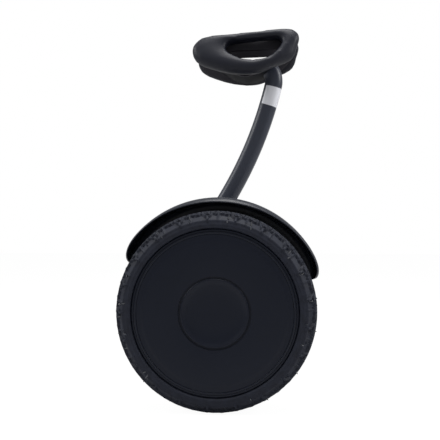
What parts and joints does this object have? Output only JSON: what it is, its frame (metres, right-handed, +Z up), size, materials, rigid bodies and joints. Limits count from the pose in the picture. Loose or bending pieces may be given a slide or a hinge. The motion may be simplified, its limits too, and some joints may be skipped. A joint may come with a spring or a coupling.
{
  "type": "self-balancing scooter",
  "caption": "Two-wheeled self-balancing scooter: side-by-side hub-motor wheels under mudguards, a low foot deck and a leaning bar with knee pads for steering.",
  "frame": {"origin": "on the ground, midway between the two tyre contact patches", "axes": "+X to the rear, +Y to the rider's right, +Z up"},
  "size_m": [0.2616, 0.546, 0.5471],
  "materials": {
    "axle_clamp": "satin",
    "axle_shaft": "satin",
    "battery_case": "satin",
    "battery_lid": "satin",
    "battery_pack": "satin",
    "centre_cap": "satin",
    "centring_rubber": "matte",
    "charge_socket": "satin",
    "charge_socket_cap": "matte",
    "clamp_bolt": "polished",
    "clamp_collar": "satin",
    "clamp_lever": "satin",
    "control_board": "satin",
    "display_window": "gloss",
    "dust_shield": "satin",
    "fender": "satin",
    "foot_mat": "matte",
    "foot_sensor": "satin",
    "frame_casting": "satin",
    "headlight_board": "satin",
    "headlight_lens": "gloss",
    "heat_sink": "satin",
    "hub_shell": "satin",
    "inner_bearing": "polished",
    "knee_pad": "matte",
    "magnet_ring": "satin",
    "motor_end_cover": "satin",
    "outer_bearing": "polished",
    "pad_bracket": "satin",
    "pad_plate": "satin",
    "pivot_pin": "polished",
    "power_button": "satin",
    "stator": "satin",
    "steering_bar": "satin",
    "steering_base": "satin",
    "steering_post": "satin",
    "tail_light": "gloss",
    "top_cover": "satin",
    "tyre": "matte",
    "wheel_cover": "satin"
  },
  "bodies": {
    "chassis": {"axle_clamp_left": "axle_clamp", "axle_clamp_right": "axle_clamp", "axle_shaft_left": "axle_shaft", "axle_shaft_right": "axle_shaft", "battery_case": "battery_case", "battery_lid": "battery_lid", "battery_pack": "battery_pack", "centring_rubber_left": "centring_rubber", "centring_rubber_right": "centring_rubber", "charge_socket": "charge_socket", "control_board": "control_board", "display_window": "display_window", "fender_left": "fender", "fender_right": "fender", "foot_mat_left": "foot_mat", "foot_mat_right": "foot_mat", "foot_sensor_left": "foot_sensor", "foot_sensor_right": "foot_sensor", "frame_casting": "frame_casting", "headlight_board": "headlight_board", "headlight_lens": "headlight_lens", "heat_sink": "heat_sink", "pivot_pin": "pivot_pin", "stator_left": "stator", "stator_right": "stator", "steering_base": "steering_base", "tail_light_left": "tail_light", "tail_light_right": "tail_light", "top_cover": "top_cover"},
    "wheel_left": {"centre_cap_left": "centre_cap", "hub_shell_left": "hub_shell", "inner_bearing_left": "inner_bearing", "magnet_ring_left": "magnet_ring", "motor_end_cover_left": "motor_end_cover", "outer_bearing_left": "outer_bearing", "tyre_left": "tyre", "wheel_cover_left": "wheel_cover"},
    "wheel_right": {"centre_cap_right": "centre_cap", "hub_shell_right": "hub_shell", "inner_bearing_right": "inner_bearing", "magnet_ring_right": "magnet_ring", "motor_end_cover_right": "motor_end_cover", "outer_bearing_right": "outer_bearing", "tyre_right": "tyre", "wheel_cover_right": "wheel_cover"},
    "steering": {"steering_post": "steering_post", "dust_shield": "dust_shield"},
    "bar": {"clamp_collar": "clamp_collar", "clamp_bolt": "clamp_bolt", "steering_bar": "steering_bar", "pad_bracket": "pad_bracket", "pad_plate_left": "pad_plate", "pad_plate_right": "pad_plate", "knee_pad_left": "knee_pad", "knee_pad_right": "knee_pad"},
    "clamp_lever": {"clamp_lever": "clamp_lever"},
    "power_button": {"power_button": "power_button"},
    "charge_cap": {"charge_socket_cap": "charge_socket_cap"}
  },
  "joints": [
    {"name": "wheel_spin_left", "type": "hinge", "parent": "chassis", "child": "wheel_left", "pos_m": [0, -0.238, 0.13], "axis": [0, 1, 0], "continuous": true},
    {"name": "wheel_spin_right", "type": "hinge", "parent": "chassis", "child": "wheel_right", "pos_m": [0, 0.238, 0.13], "axis": [0, 1, 0], "continuous": true},
    {"name": "bar_lean", "type": "hinge", "parent": "chassis", "child": "steering", "pos_m": [-0.07409, 0, 0.16994], "axis": [0.9969, 0, -0.0785], "range_deg": [-12, 12], "stiffness_Nm_per_rad": 14, "deforming": ["centring_rubber_left", "centring_rubber_right"]},
    {"name": "bar_lift", "type": "slide", "parent": "steering", "child": "bar", "axis": [0.515, 0, 0.8572], "range_m": [0, 0.05]},
    {"name": "clamp_lever_swing", "type": "hinge", "parent": "bar", "child": "clamp_lever", "pos_m": [-0.05534, 0.016, 0.24873], "axis": [0.515, 0, 0.8572], "range_deg": [0, 110]},
    {"name": "power_button_press", "type": "slide", "parent": "chassis", "child": "power_button", "axis": [-0.9969, 0, 0.0785], "range_m": [0, 0.0015], "stiffness_N_per_m": 500},
    {"name": "charge_cap_swing", "type": "hinge", "parent": "chassis", "child": "charge_cap", "pos_m": [0.10651, 0.06, 0.11961], "axis": [0, -1, 0], "range_deg": [0, 100]}
  ]
}
